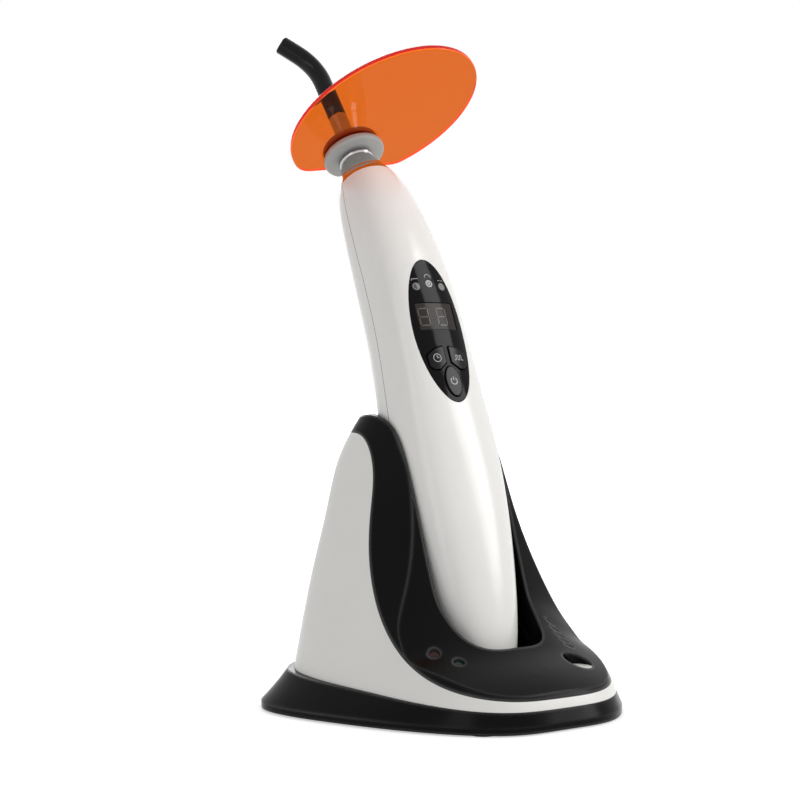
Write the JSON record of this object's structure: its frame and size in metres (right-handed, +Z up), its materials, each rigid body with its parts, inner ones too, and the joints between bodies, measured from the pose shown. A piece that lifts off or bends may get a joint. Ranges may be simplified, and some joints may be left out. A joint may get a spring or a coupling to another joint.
{
  "type": "dental curing light on a charging base",
  "caption": "Cordless dental curing light with a bent light guide and an orange eye shield, standing in a charging base with a built-in light meter",
  "frame": {"origin": "on the surface that the base stands on, under the middle of the base", "axes": "+Z up; -Y is the front, where the control panel faces; +X is the user's right; the handpiece lies in the plane x = 0"},
  "size_m": [0.1323, 0.1648, 0.2482],
  "materials": {
    "housing_white": "satin moulded ABS",
    "cradle_black": "fine satin moulded ABS",
    "plinth_black": "fine satin moulded ABS",
    "foot_rubber": "soft black rubber",
    "steel_screw": "zinc plated steel",
    "lamp_red": "tinted clear light pipe",
    "lamp_green": "tinted clear light pipe",
    "meter_smoke": "smoked clear light pipe",
    "diffuser_white": "opal diffuser",
    "circuit_green": "solder-masked glass epoxy board",
    "jack_black": "black nylon",
    "contact_gold": "gold plated brass",
    "hand_white": "gloss moulded ABS",
    "nose_metal": "polished metal",
    "panel_black": "gloss black inlay",
    "display_grey": "smoked display window",
    "indicator_clear": "clear lamp window",
    "key_black": "gloss black key",
    "cell_sleeve": "shrink sleeve on a steel can",
    "heat_sink_alu": "turned aluminium",
    "led_white": "white ceramic-filled board",
    "lens_clear": "clear glass",
    "rod_black": "black jacketed optical fibre rod",
    "ferrule_metal": "polished metal sleeve",
    "grommet_grey": "grey silicone rubber",
    "shield_orange": "clear orange polycarbonate"
  },
  "bodies": {
    "stand": {"base_plate": "plinth_black", "base_shell": "housing_white", "cradle": "cradle_black", "rubber_feet": "foot_rubber", "base_screws": "steel_screw", "charge_lamp": "lamp_red", "ready_lamp": "lamp_green", "meter_bar": "meter_smoke", "sensor_diffuser": "diffuser_white", "stand_board": "circuit_green", "dc_jack": "jack_black", "contact_block": "jack_black"},
    "contact_pin_left": {"contact_pin_left": "contact_gold"},
    "contact_pin_right": {"contact_pin_right": "contact_gold"},
    "handpiece": {"front_shell": "hand_white", "back_shell": "hand_white", "nose_cone": "nose_metal", "control_panel": "panel_black", "display": "display_grey", "indicator_lamps": "indicator_clear", "tact_switches": "jack_black", "main_board": "circuit_green", "battery": "cell_sleeve", "led_module": "led_white", "heat_sink": "heat_sink_alu", "lens": "lens_clear", "charge_pads": "contact_gold"},
    "time_button": {"time_button": "key_black"},
    "mode_button": {"mode_button": "key_black"},
    "power_button": {"power_button": "key_black"},
    "guide_oring": {"guide_oring": "foot_rubber"},
    "light_guide": {"light_rod": "rod_black", "guide_ferrule": "ferrule_metal"},
    "grommet": {"grommet": "grommet_grey"},
    "shield": {"shield": "shield_orange"}
  },
  "joints": [
    {"name": "handpiece_lift", "type": "slide", "parent": "stand", "child": "handpiece", "axis": [0, 0.342, 0.9397], "range_m": [0, 0.12]},
    {"name": "contact_pin_left_press", "type": "slide", "parent": "stand", "child": "contact_pin_left", "axis": [0, 0.342, 0.9397], "range_m": [-0.0012, 0], "stiffness_N_per_m": 300, "springref_m": 0.001},
    {"name": "contact_pin_right_press", "type": "slide", "parent": "stand", "child": "contact_pin_right", "axis": [0, 0.342, 0.9397], "range_m": [-0.0012, 0], "stiffness_N_per_m": 300, "springref_m": 0.001},
    {"name": "time_button_press", "type": "slide", "parent": "handpiece", "child": "time_button", "axis": [0, -0.9278, 0.373], "range_m": [-0.00025, 0], "stiffness_N_per_m": 1500, "springref_m": 0.0004},
    {"name": "mode_button_press", "type": "slide", "parent": "handpiece", "child": "mode_button", "axis": [0, -0.9278, 0.373], "range_m": [-0.00025, 0], "stiffness_N_per_m": 1500, "springref_m": 0.0004},
    {"name": "power_button_press", "type": "slide", "parent": "handpiece", "child": "power_button", "axis": [0, -0.9278, 0.373], "range_m": [-0.00025, 0], "stiffness_N_per_m": 1500, "springref_m": 0.0004},
    {"name": "guide_pull", "type": "slide", "parent": "handpiece", "child": "guide_oring", "axis": [0, 0.5948, 0.8039], "range_m": [0, 0.017]},
    {"name": "guide_turn", "type": "hinge", "parent": "guide_oring", "child": "light_guide", "pos_m": [0, 0.07353, 0.19723], "axis": [0, 0.5948, 0.8039], "continuous": true},
    {"name": "shield_slide", "type": "slide", "parent": "light_guide", "child": "grommet", "axis": [0, 0.5948, 0.8039], "range_m": [0, 0.027]},
    {"name": "shield_turn", "type": "hinge", "parent": "grommet", "child": "shield", "pos_m": [0, 0.07353, 0.19723], "axis": [0, 0.5948, 0.8039], "continuous": true}
  ]
}
